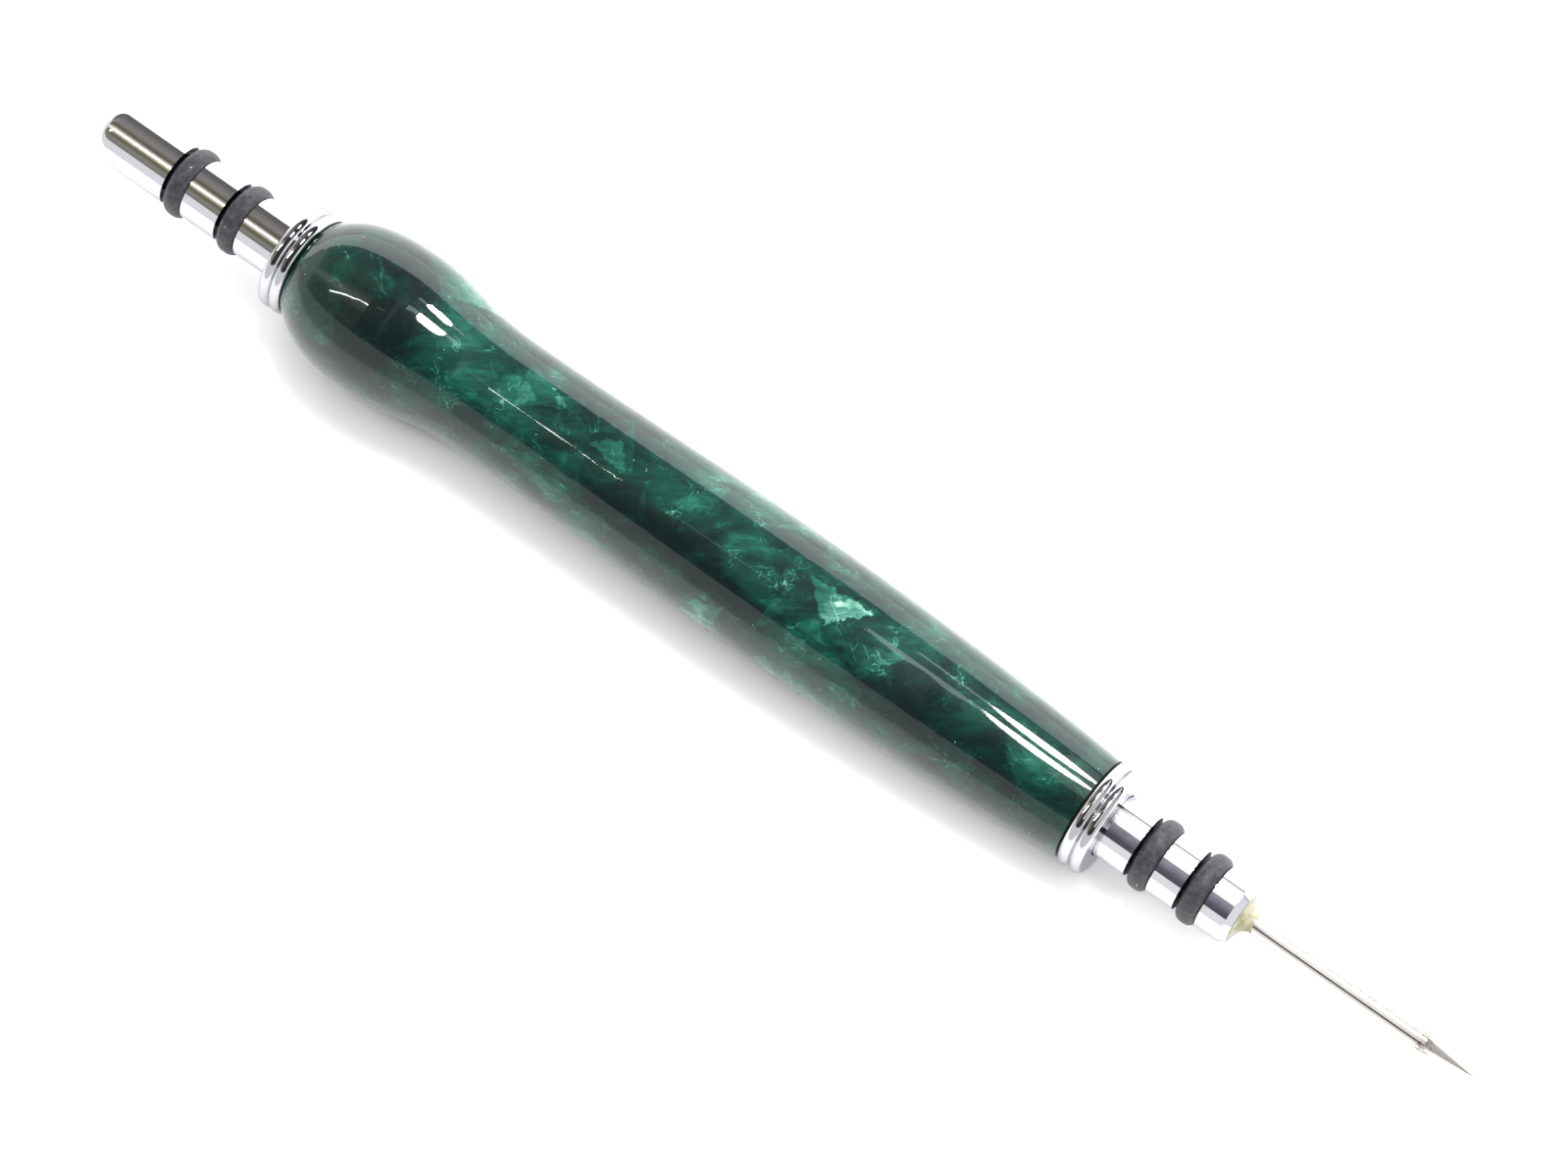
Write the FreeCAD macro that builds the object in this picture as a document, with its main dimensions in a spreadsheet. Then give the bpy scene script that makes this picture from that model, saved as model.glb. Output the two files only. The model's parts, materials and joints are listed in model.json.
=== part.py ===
"""Scratch awl with two reversible inserts, a parametric FreeCAD document in millimetres.

The tool's axis is X: the awl's point is at +X and the stowed insert's domed end at -X.
The origin is the middle of the whole tool, on its axis, and +Z is up.
"""
import FreeCAD, Part
import Sketcher
import math
import os
from FreeCAD import Rotation, Vector

# Driving sizes: (alias, value, what it is).
DRIVING = [
    ("handle_length", "101.4", "turned handle, face to face"),
    ("handle_rear_diameter", "11.5", "handle where it meets the rear collar"),
    ("handle_front_diameter", "11.7", "handle where it meets the front collar"),
    ("edge_ease", "0.15", "bevel on the handle's two end edges"),
    ("bulge_diameter", "17.4", "widest place, near the rear end"),
    ("bulge_place", "10.4", "bulge from the rear end"),
    ("waist_diameter", "13.94", "narrow place in front of the bulge"),
    ("waist_place", "25.7", "waist from the rear end"),
    ("belly_diameter", "14.95", "gentle swelling under the fingers"),
    ("belly_place", "62.7", "belly from the rear end"),
    ("shoulder_run", "1.8", "outline: first pull along, off the rear end"),
    ("shoulder_rise", "1.26", "outline: first pull outward, off the rear end"),
    ("bulge_pull_rear", "6.7", "outline: how long the bulge stays level behind its crest"),
    ("bulge_pull_front", "6.1", "outline: the same in front of its crest"),
    ("waist_pull_rear", "8.3", "outline: how long the waist stays level behind"),
    ("waist_pull_front", "11.8", "outline: the same in front"),
    ("belly_pull_rear", "14.8", "outline: how long the belly stays level behind"),
    ("belly_pull_front", "11.8", "outline: the same in front"),
    ("nose_run", "10", "outline: last pull along, before the front end"),
    ("nose_rise", "0.94", "outline: last pull outward, before the front end"),
    ("shank_diameter", "7.1", "insert's chromed shank"),
    ("dome_part", "25.4", "shank from the domed end to the collar's face"),
    ("tool_part", "16.1", "shank from the collar's face to the end that holds the tool"),
    ("dome_corner", "2", "rounded corner of the domed end"),
    ("crown_radius", "12", "slight crown of the domed end"),
    ("tip_bevel_length", "0.8", "bevel at the tool end, along the shank"),
    ("tip_bevel_depth", "0.43", "bevel at the tool end, across the shank"),
    ("tool_diameter", "2", "needle or tang, and the hole that takes it"),
    ("tool_hole_depth", "14", "hole in the tool end of the shank"),
    ("dome_ring_place", "11.6", "first ring's middle from the domed end"),
    ("dome_ring_spacing", "7.3", "the two rings at the domed end, middle to middle"),
    ("tool_ring_place", "4.75", "last ring's middle from the tool end"),
    ("tool_ring_spacing", "6", "the two rings at the tool end, middle to middle"),
    ("ring_section", "2", "rubber ring's section across the shank"),
    ("ring_flat", "0.4", "level part of a free ring's section"),
    ("ring_sink", "1.5", "depth of the ring's bore below the shank's surface"),
    ("ring_gap", "0.02", "ring to groove floor, groove wall and tube"),
    ("groove_slack", "0.35", "extra width of a ring's groove, on the domed side"),
    ("slide_gap", "0.1", "shank to tube, each side"),
    ("tube_wall", "0.35", "brass tube's wall"),
    ("tube_stand_out", "1.5", "tube's end proud of the handle, inside the collar"),
    ("lip_bore", "5.8", "opening in the tube's rolled-in inner end"),
    ("lip_thickness", "0.6", "rolled-in end of the tube, which stops the insert"),
    ("seat_gap", "0.05", "insert to lip when pushed home"),
    ("collar_length", "2.75", "collar with its two beads"),
    ("collar_waist_diameter", "11.56", "collar between and beside its beads"),
    ("bead_height", "0.38", "bead above the collar's waist"),
    ("collar_gap", "0.15", "shank to the collar's mouth, each side"),
    ("needle_out", "27.9", "needle from the shank's end to its tip"),
    ("point_length", "5.7", "needle's tapered point"),
    ("cut_margin", "1", "how far a cutting outline reaches outside the metal"),
    ("tip_diameter", "0.12", "blunt very end of the point"),
    ("resin_diameter", "5", "foot of the resin fillet on the shank's end"),
    ("resin_height", "1.55", "resin fillet up the tool"),
    ("resin_hollow", "1.75", "hollow radius of the resin fillet"),
    ("neck_out", "4", "ripper's round neck in front of the shank"),
    ("blade_out", "28", "ripper from the shank's end to its long point"),
    ("blade_width", "3.8", "ripper blade's width"),
    ("blade_thickness", "1.2", "ripper blade's thickness"),
    ("flare_length", "5", "neck widening to the blade"),
    ("short_prong", "20", "short prong's end from the shank's end"),
    ("fork_floor", "15.5", "sharp floor of the fork from the shank's end"),
    ("prong_thickness", "0.7", "prongs beside the fork"),
    ("flat_root", "1", "flat blade's root inside the round neck"),
    ("point_blunt", "0.2", "blunt very end of the long point"),
    ("fork_taper", "0.4", "narrowing of the fork's long side towards its floor"),
    ("fork_drop", "0.3", "fork's floor below the axis"),
    ("ball_diameter", "1.8", "safety ball on the short prong"),
    ("ball_set_back", "0.54", "ball's middle behind the short prong's end"),
]

# Sizes that follow from the driving ones: (alias, formula, what it is).
DERIVED = [
    ("shank_radius", "=shank_diameter / 2", "shank's radius"),
    ("tool_radius", "=tool_diameter / 2", "needle's radius"),
    ("insert_length", "=dome_part + tool_part", "whole shank"),
    ("tube_bore_radius", "=shank_radius + slide_gap", "tube's bore"),
    ("tube_radius", "=tube_bore_radius + tube_wall", "tube's outside"),
    ("lip_radius", "=lip_bore / 2", "opening in the lip"),
    ("collar_mouth_radius", "=shank_radius + collar_gap", "collar's mouth"),
    ("collar_waist_radius", "=collar_waist_diameter / 2", "collar beside its beads"),
    ("bead_length", "=collar_length / 2", "one bead along the axis"),
    ("bead_radius", "=((bead_length / 2)^2 + bead_height^2) / (2 * bead_height)", "bead's arc"),
    ("whole_length", "=handle_length + 2 * collar_length + insert_length + needle_out", "tip to dome"),
    ("ripper_dome", "=-whole_length / 2", "stowed insert's domed end"),
    ("ripper_end", "=ripper_dome + insert_length", "stowed insert's tool end"),
    ("handle_rear", "=ripper_dome + dome_part + collar_length", "handle's rear face"),
    ("handle_front", "=handle_rear + handle_length", "handle's front face"),
    ("awl_dome", "=handle_front + collar_length - dome_part", "awl insert's domed end"),
    ("awl_end", "=awl_dome + insert_length", "awl insert's tool end"),
    ("corner_ring", "=shank_radius - dome_corner", "circle that the corner's centre runs on"),
    ("corner_reach", "=sqrt((crown_radius - dome_corner)^2 - corner_ring^2)", "crown to corner centres"),
    ("corner_centre", "=crown_radius - corner_reach", "corner's centre from the domed end"),
    ("crown_edge_out", "=crown_radius * corner_ring / (crown_radius - dome_corner)", "crown's edge"),
    ("crown_edge_along", "=crown_radius * (1 - corner_reach / (crown_radius - dome_corner))", "its place"),
    ("dome_seat", "=corner_centre - sqrt(dome_corner^2 - (lip_radius - corner_ring)^2)", "lip's circle"),
    ("front_tube_inner", "=awl_dome + dome_seat - seat_gap - lip_thickness", "front tube's inner end"),
    ("front_tube_length", "=handle_front + tube_stand_out - front_tube_inner", "front tube"),
    ("rear_tube_inner", "=ripper_end + seat_gap + lip_thickness", "rear tube's inner end"),
    ("rear_tube_length", "=rear_tube_inner - handle_rear + tube_stand_out", "rear tube"),
    ("ring_bore_radius", "=shank_radius - ring_sink", "ring's bore"),
    ("groove_floor_radius", "=ring_bore_radius - ring_gap", "groove's floor"),
    ("ring_width", "=ring_section + ring_flat", "ring along the shank"),
    ("free_ring_half", "=ring_section / 2", "half of a free ring's section"),
    ("held_ring_half", "=(tube_bore_radius - ring_gap - ring_bore_radius) / 2", "the same, squeezed"),
    ("held_ring_flat", "=ring_width - 2 * held_ring_half", "level part of a squeezed ring"),
    ("groove_rear", "=ring_width / 2 + ring_gap + groove_slack", "ring's middle to its groove's rear wall"),
    ("groove_front", "=ring_width / 2 + ring_gap", "ring's middle to its groove's front wall"),
    ("half_blade", "=blade_width / 2", "half of the blade's width"),
    ("prong_middle", "=half_blade - prong_thickness / 2", "short prong's middle below the axis"),
]

# Ring middles from the domed end, by name: a shank carries one groove at each.
RING_PLACES = {
    "dome_ring_outer": "Size.dome_ring_place",
    "dome_ring_inner": "Size.dome_ring_place + Size.dome_ring_spacing",
    "tool_ring_inner": "Size.insert_length - Size.tool_ring_place - Size.tool_ring_spacing",
    "tool_ring_outer": "Size.insert_length - Size.tool_ring_place",
}

doc = FreeCAD.newDocument("scratch_awl")
sheet = doc.addObject("Spreadsheet::Sheet", "Size")


def fill_sheet():
    """Write every size into the sheet: what it is, its value and its alias."""
    for row, (alias, value, meaning) in enumerate(DRIVING + DERIVED, start=1):
        sheet.set(f"A{row}", meaning)
        sheet.set(f"B{row}", value)
        sheet.setAlias(f"B{row}", alias)
    doc.recompute()


def number(formula):
    """A formula's present value."""
    return float(sheet.evalExpression(formula))


def new_body(label, along="0", turned=False):
    """An empty body, placed along the axis and turned end for end if asked."""
    body = doc.addObject("PartDesign::Body", label)
    body.Label = label
    if turned:
        body.Placement.Rotation = Rotation(Vector(0, 0, 1), 180)
    body.setExpression(".Placement.Base.x", along)
    return body


def new_sketch(body, name, role="XZ_Plane"):
    """An empty sketch on one of the body's own origin planes."""
    sketch = body.newObject("Sketcher::SketchObject", f"{body.Name}_{name}")
    plane = next(item for item in body.Origin.OriginFeatures if item.Role == role)
    sketch.AttachmentSupport = (plane, [""])
    sketch.MapMode = "FlatFace"
    return sketch


def hold(sketch, kind, *where, formula):
    """Add a driving constraint and bind it to a formula."""
    index = sketch.addConstraint(Sketcher.Constraint(kind, *where, number(formula)))
    sketch.setExpression(f"Constraints[{index}]", formula)


def hold_point(sketch, geometry, position, along, out):
    """Hold a point to its two formulas, or to an axis where one of them is 0."""
    for axis, kind, formula in ((-2, "DistanceX", along), (-1, "DistanceY", out)):
        if formula == "0":
            sketch.addConstraint(Sketcher.Constraint("PointOnObject", geometry, position, axis))
        else:
            hold(sketch, kind, -1, 1, geometry, position, formula=formula)


def arc_between(start, end, radius, bulge):
    """The shorter arc from start to end; bulge is 1 to swell to the left of travel, -1 to the right."""
    chord = end - start
    half = chord.Length / 2
    rise = radius - math.sqrt(radius * radius - half * half)
    left = Vector(-chord.y, chord.x, 0).normalize()
    return Part.Arc(start, (start + end) / 2 + left * rise * bulge, end)


def add_edge(sketch, start, end, edge):
    """Draw one edge and return its index and the positions of its two ends."""
    if edge is None:
        return sketch.addGeometry(Part.LineSegment(start, end)), 1, 2
    kind, detail = edge
    if kind == "curve":
        pulls = [Vector(number(along), number(out), 0) for along, out in detail]
        poles = [start, *pulls, end]
        curve = sketch.addGeometry(Part.BSplineCurve(poles, None, None, False, 3, None, False))
        sketch.exposeInternalGeometry(curve)
        for step, (along, out) in enumerate(detail, start=2):
            hold_point(sketch, curve + step, 3, along, out)
        return curve, 1, 2
    arc = arc_between(start, end, number(detail), 1 if kind == "left" else -1)
    index = sketch.addGeometry(arc)
    hold(sketch, "Radius", index, formula=detail)
    first, last = sketch.getPoint(index, 1), sketch.getPoint(index, 2)
    forward = first.distanceToPoint(start) < last.distanceToPoint(start)
    return (index, 1, 2) if forward else (index, 2, 1)


def draw_outline(sketch, corners):
    """Draw a closed outline.

    A corner is (along, out, edge), and edge is the edge that leaves it: None is straight,
    ("left", radius) and ("right", radius) are arcs that swell to that side of travel, and
    ("curve", pulls) is a cubic curve with two pull points.
    """
    points = [Vector(number(along), number(out), 0) for along, out, edge in corners]
    edges = [add_edge(sketch, points[i], points[(i + 1) % len(points)], corner[2])
             for i, corner in enumerate(corners)]
    for (index, start, _), (along, out, _) in zip(edges, corners):
        hold_point(sketch, index, start, along, out)
    for (index, _, end), (following, start, _) in zip(edges, edges[1:] + edges[:1]):
        sketch.addConstraint(Sketcher.Constraint("Coincident", index, end, following, start))


def turn(body, sketch, kind="PartDesign::Revolution"):
    """Turn a sketch once round the body's X axis, adding (Revolution) or cutting (Groove)."""
    feature = body.newObject(kind, f"{sketch.Name}_turned")
    feature.Profile = sketch
    feature.ReferenceAxis = (sketch, ["H_Axis"])
    feature.Angle = 360
    sketch.Visibility = False
    return feature


def pad(body, sketch, length, **settings):
    """Raise a sketch into a solid."""
    feature = body.newObject("PartDesign::Pad", f"{sketch.Name}_raised")
    feature.Profile = sketch
    feature.setExpression("Length", length)
    for name, value in settings.items():
        setattr(feature, name, value)
    return feature


def turned_piece(label, corners, along, turned=False):
    """A piece turned from one closed outline."""
    body = new_body(label, along, turned)
    sketch = new_sketch(body, "outline")
    draw_outline(sketch, corners)
    turn(body, sketch)
    return body


def make_handle():
    """Acrylic handle: bulge, waist, belly and taper, bored through for the two tubes."""
    rear, front = "Size.handle_rear_diameter / 2", "Size.handle_front_diameter / 2"
    bulge, waist, belly = (f"Size.{name}_diameter / 2" for name in ("bulge", "waist", "belly"))
    far = "Size.handle_length"
    return turned_piece("handle_body", [
        ("0", "Size.tube_radius", None),
        ("0", f"{rear} - Size.edge_ease", None),
        ("Size.edge_ease", rear, ("curve", [
            ("Size.edge_ease + Size.shoulder_run", f"{rear} + Size.shoulder_rise"),
            ("Size.bulge_place - Size.bulge_pull_rear", bulge)])),
        ("Size.bulge_place", bulge, ("curve", [
            ("Size.bulge_place + Size.bulge_pull_front", bulge),
            ("Size.waist_place - Size.waist_pull_rear", waist)])),
        ("Size.waist_place", waist, ("curve", [
            ("Size.waist_place + Size.waist_pull_front", waist),
            ("Size.belly_place - Size.belly_pull_rear", belly)])),
        ("Size.belly_place", belly, ("curve", [
            ("Size.belly_place + Size.belly_pull_front", belly),
            (f"{far} - Size.edge_ease - Size.nose_run", f"{front} + Size.nose_rise")])),
        (f"{far} - Size.edge_ease", front, None),
        (far, f"{front} - Size.edge_ease", None),
        (far, "Size.tube_radius", None),
    ], "Size.handle_rear")


def make_tube(end, turned):
    """Brass tube with its inner end rolled in: the lip stops the insert."""
    length = f"Size.{end}_tube_length"
    return turned_piece(f"{end}_tube", [
        ("0", "Size.lip_radius", None),
        ("0", "Size.tube_radius", None),
        (length, "Size.tube_radius", None),
        (length, "Size.tube_bore_radius", None),
        ("Size.lip_thickness", "Size.tube_bore_radius", None),
        ("Size.lip_thickness", "Size.lip_radius", None),
    ], f"Size.{end}_tube_inner", turned)


def make_collar(end, turned):
    """Chromed collar with two beads: it sits over the tube's end, against the handle."""
    bead = ("left", "Size.bead_radius")
    return turned_piece(f"{end}_collar", [
        ("0", "Size.tube_radius", None),
        ("0", "Size.collar_waist_radius", bead),
        ("Size.bead_length", "Size.collar_waist_radius", bead),
        ("Size.collar_length", "Size.collar_waist_radius", None),
        ("Size.collar_length", "Size.collar_mouth_radius", None),
        ("Size.tube_stand_out", "Size.collar_mouth_radius", None),
        ("Size.tube_stand_out", "Size.tube_radius", None),
    ], f"Size.handle_{end}", turned)


def make_shank(insert):
    """Chromed shank: domed end, four ring grooves, and a bevelled end drilled for the tool."""
    far, hole = "Size.insert_length", "Size.insert_length - Size.tool_hole_depth"
    body = turned_piece(f"{insert}_shank", [
        ("0", "0", ("left", "Size.crown_radius")),
        ("Size.crown_edge_along", "Size.crown_edge_out", ("left", "Size.dome_corner")),
        ("Size.corner_centre", "Size.shank_radius", None),
        (f"{far} - Size.tip_bevel_length", "Size.shank_radius", None),
        (far, "Size.shank_radius - Size.tip_bevel_depth", None),
        (far, "Size.tool_radius", None),
        (hole, "Size.tool_radius", None),
        (hole, "0", None),
    ], f"Size.{insert}_dome")
    floor, clear = "Size.groove_floor_radius", "Size.shank_radius + Size.cut_margin"
    for name, place in RING_PLACES.items():
        start, stop = f"{place} - Size.groove_rear", f"{place} + Size.groove_front"
        sketch = new_sketch(body, f"{name}_groove")
        draw_outline(sketch, [(start, floor, None), (start, clear, None),
                              (stop, clear, None), (stop, floor, None)])
        turn(body, sketch, "PartDesign::Groove")
    return body


def make_ring(insert, name, held):
    """Rubber ring in its groove: round-sided section, flatter where the tube squeezes it."""
    half = f"Size.{'held' if held else 'free'}_ring_half"
    level = "Size.held_ring_flat / 2" if held else "Size.ring_flat / 2"
    middle = f"Size.ring_bore_radius + {half}"
    body = new_body(f"{insert}_{name}", f"Size.{insert}_dome + {RING_PLACES[name]}")
    sketch = new_sketch(body, "section")
    side, centre, radius = number(level), number(middle), number(half)
    for along, begin in ((-side, math.pi / 2), (side, -math.pi / 2)):
        circle = Part.Circle(Vector(along, centre, 0), Vector(0, 0, 1), radius)
        sketch.addGeometry(Part.ArcOfCircle(circle, begin, begin + math.pi))
    for out, direction in ((centre - radius, 1), (centre + radius, -1)):
        start, stop = Vector(-side * direction, out, 0), Vector(side * direction, out, 0)
        sketch.addGeometry(Part.LineSegment(start, stop))
    for first, first_end, second, second_end in ((0, 2, 2, 1), (2, 2, 1, 1), (1, 2, 3, 1), (3, 2, 0, 1)):
        sketch.addConstraint(Sketcher.Constraint("Tangent", first, first_end, second, second_end))
    sketch.addConstraint(Sketcher.Constraint("Equal", 0, 1))
    sketch.addConstraint(Sketcher.Constraint("Horizontal", 2))
    hold(sketch, "Radius", 0, formula=half)
    hold(sketch, "DistanceY", -1, 1, 0, 3, formula=middle)
    hold(sketch, "DistanceX", 0, 3, -1, 1, formula=level)
    hold(sketch, "DistanceX", -1, 1, 1, 3, formula=level)
    turn(body, sketch)
    return body


def make_resin(insert):
    """Hollow fillet of set resin where the tool leaves the shank."""
    return turned_piece(f"{insert}_resin", [
        ("0", "Size.tool_radius", None),
        ("0", "Size.resin_diameter / 2", ("right", "Size.resin_hollow")),
        ("Size.resin_height", "Size.tool_radius", None),
    ], f"Size.{insert}_end")


def make_needle():
    """Steel needle: a straight rod in the shank's hole with a long tapered point."""
    far = "Size.tool_hole_depth + Size.needle_out"
    return turned_piece("awl_needle", [
        ("0", "0", None),
        ("0", "Size.tool_radius", None),
        (f"{far} - Size.point_length", "Size.tool_radius", None),
        (far, "Size.tip_diameter / 2", None),
        (far, "0", None),
    ], "Size.awl_end - Size.tool_hole_depth")


def make_blade():
    """Stowed seam ripper: round tang and neck, flat blade, long point and short prong."""
    flare = "Size.neck_out + Size.flare_length"
    inside = "Size.half_blade - Size.prong_thickness"
    body = new_body("ripper_blade", "Size.ripper_end")
    outline = new_sketch(body, "outline")
    draw_outline(outline, [
        ("Size.neck_out - Size.flat_root", "-Size.tool_radius", None),
        ("Size.neck_out - Size.flat_root", "Size.tool_radius", None),
        ("Size.neck_out", "Size.tool_radius", None),
        (flare, "Size.half_blade", None),
        ("Size.short_prong", "Size.half_blade", None),
        ("Size.blade_out", f"{inside} + Size.point_blunt", None),
        ("Size.blade_out - Size.point_blunt", inside, None),
        ("Size.fork_floor + Size.prong_thickness", f"{inside} - Size.fork_taper", None),
        ("Size.fork_floor", "-Size.fork_drop", None),
        ("Size.fork_floor + Size.prong_thickness", f"-({inside})", None),
        ("Size.short_prong", f"-({inside})", None),
        ("Size.short_prong", "-Size.half_blade", None),
        (flare, "-Size.half_blade", None),
        ("Size.neck_out", "-Size.tool_radius", None),
    ])
    pad(body, outline, "Size.blade_thickness", SideType="Symmetric")
    tang = new_sketch(body, "tang", "YZ_Plane")
    tang.addGeometry(Part.Circle(Vector(0, 0, 0), Vector(0, 0, 1), number("Size.tool_radius")))
    tang.addConstraint(Sketcher.Constraint("Coincident", 0, 3, -1, 1))
    hold(tang, "Radius", 0, formula="Size.tool_radius")
    tang.setExpression(".AttachmentOffset.Base.z", "-Size.tool_hole_depth")
    pad(body, tang, "Size.tool_hole_depth + Size.neck_out")
    return body


def make_ball():
    """Plastic safety ball, slotted over the end of the short prong."""
    ball = doc.addObject("Part::Sphere", "ball_blank")
    ball.setExpression("Radius", "Size.ball_diameter / 2")
    ball.setExpression(".Placement.Base.x", "Size.ripper_end + Size.short_prong - Size.ball_set_back")
    ball.setExpression(".Placement.Base.z", "-Size.prong_middle")
    slot = doc.addObject("Part::Box", "ball_slot")
    slot.setExpression("Length", "Size.ball_diameter")
    slot.setExpression("Width", "Size.blade_thickness")
    slot.setExpression("Height", "Size.prong_thickness")
    slot.setExpression(".Placement.Base.x", "Size.ripper_end + Size.short_prong - Size.ball_diameter")
    slot.setExpression(".Placement.Base.y", "-Size.blade_thickness / 2")
    slot.setExpression(".Placement.Base.z", "-Size.half_blade")
    slotted = doc.addObject("Part::Cut", "ripper_ball")
    slotted.Base = ball
    slotted.Tool = slot
    return slotted


def make_all():
    """Every sub-part of the tool."""
    pieces = [make_handle()]
    for end, turned in (("front", False), ("rear", True)):
        pieces += [make_tube(end, turned), make_collar(end, turned)]
    for insert, held_end in (("awl", "dome"), ("ripper", "tool")):
        pieces += [make_shank(insert), make_resin(insert)]
        pieces += [make_ring(insert, name, name.startswith(held_end)) for name in RING_PLACES]
    return pieces + [make_needle(), make_blade(), make_ball()]


def check(pieces):
    """Stop if any object failed or any sub-part is not one sound solid."""
    for item in doc.Objects:
        if {"Invalid", "Error"} & set(item.State):
            raise RuntimeError(f"{item.Label} did not recompute: {item.State}")
    for piece in pieces:
        shape = piece.Shape
        if shape.isNull() or not shape.isValid() or len(shape.Solids) != 1:
            raise RuntimeError(f"{piece.Label} is not one valid solid")
    for piece in pieces:
        for groove in (item for item in piece.OutList if item.TypeId == "PartDesign::Groove"):
            if groove.Shape.Volume >= groove.BaseFeature.Shape.Volume:
                raise RuntimeError(f"{groove.Label} cuts nothing")


def main():
    """Build, check and write the sub-parts."""
    fill_sheet()
    pieces = make_all()
    doc.recompute()
    check(pieces)
    os.makedirs("parts", exist_ok=True)
    for piece in pieces:
        piece.Shape.exportStep(f"parts/{piece.Label}.step")
    print(len(pieces), "sub-parts, whole length", round(number("Size.whole_length"), 3))


main()
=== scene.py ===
"""Looks of the scratch awl: materials, light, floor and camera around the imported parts. Metres."""
import json
import math

import bmesh
import bpy
from mathutils import Matrix, Vector
from mathutils.bvhtree import BVHTree


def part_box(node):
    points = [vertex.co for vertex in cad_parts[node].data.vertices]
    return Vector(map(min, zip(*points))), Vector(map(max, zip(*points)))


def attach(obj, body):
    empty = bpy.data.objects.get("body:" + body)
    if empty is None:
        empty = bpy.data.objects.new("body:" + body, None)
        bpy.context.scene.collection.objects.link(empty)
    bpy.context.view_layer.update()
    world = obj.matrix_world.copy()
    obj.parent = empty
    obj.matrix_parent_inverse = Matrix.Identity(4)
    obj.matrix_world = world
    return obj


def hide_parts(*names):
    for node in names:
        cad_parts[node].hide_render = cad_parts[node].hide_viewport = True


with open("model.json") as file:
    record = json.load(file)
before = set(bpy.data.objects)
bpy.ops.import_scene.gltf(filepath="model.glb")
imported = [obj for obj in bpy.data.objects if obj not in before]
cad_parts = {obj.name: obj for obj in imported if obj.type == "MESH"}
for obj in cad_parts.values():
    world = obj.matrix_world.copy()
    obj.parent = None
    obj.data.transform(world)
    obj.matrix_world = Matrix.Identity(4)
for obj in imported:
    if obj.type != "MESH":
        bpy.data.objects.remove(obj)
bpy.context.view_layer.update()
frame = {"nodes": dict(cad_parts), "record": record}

# A millimetre in metres, the millimetres in a metre, and the direction of the tool's axis.
MM = 0.001
PER_METRE = 1000.0
ALONG = Vector((1.0, 0.0, 0.0))
HANDLE = frame["nodes"]["handle_body"].data
HANDLE_SURFACE = BVHTree.FromPolygons([vertex.co for vertex in HANDLE.vertices],
                                      [polygon.vertices[:] for polygon in HANDLE.polygons])

# The camera: its direction round the tool in degrees, how far off it stands, its lens and sensor in
# millimetres, and where it looks. CAMERA_ASIDE shifts it a little in its own plane.
CAMERA_AZIMUTH = 37.0
CAMERA_ELEVATION = 67.6
CAMERA_DISTANCE = 0.526
CAMERA_LENS = 117.0
CAMERA_SENSOR = 36.0
CAMERA_NEAR = 0.01
CAMERA_AIM = Vector((0.0019, 0.0010, 0.0))
CAMERA_ASIDE = (-0.00015, -0.00021)


def length_span(node):
    """The middle of a CAD node's box along the tool and half its length, in millimetres."""
    low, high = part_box(node)
    return 0.5 * PER_METRE * (low[0] + high[0]), 0.5 * PER_METRE * (high[0] - low[0])


def radius_of(node):
    """How far a round CAD node reaches from the tool's axis, in millimetres."""
    return PER_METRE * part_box(node)[1][2]


def round_the_axis(angle):
    """The direction away from the tool's axis: up at 0, towards +Y at a quarter turn."""
    return Vector((0.0, math.sin(angle), math.cos(angle)))


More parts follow.
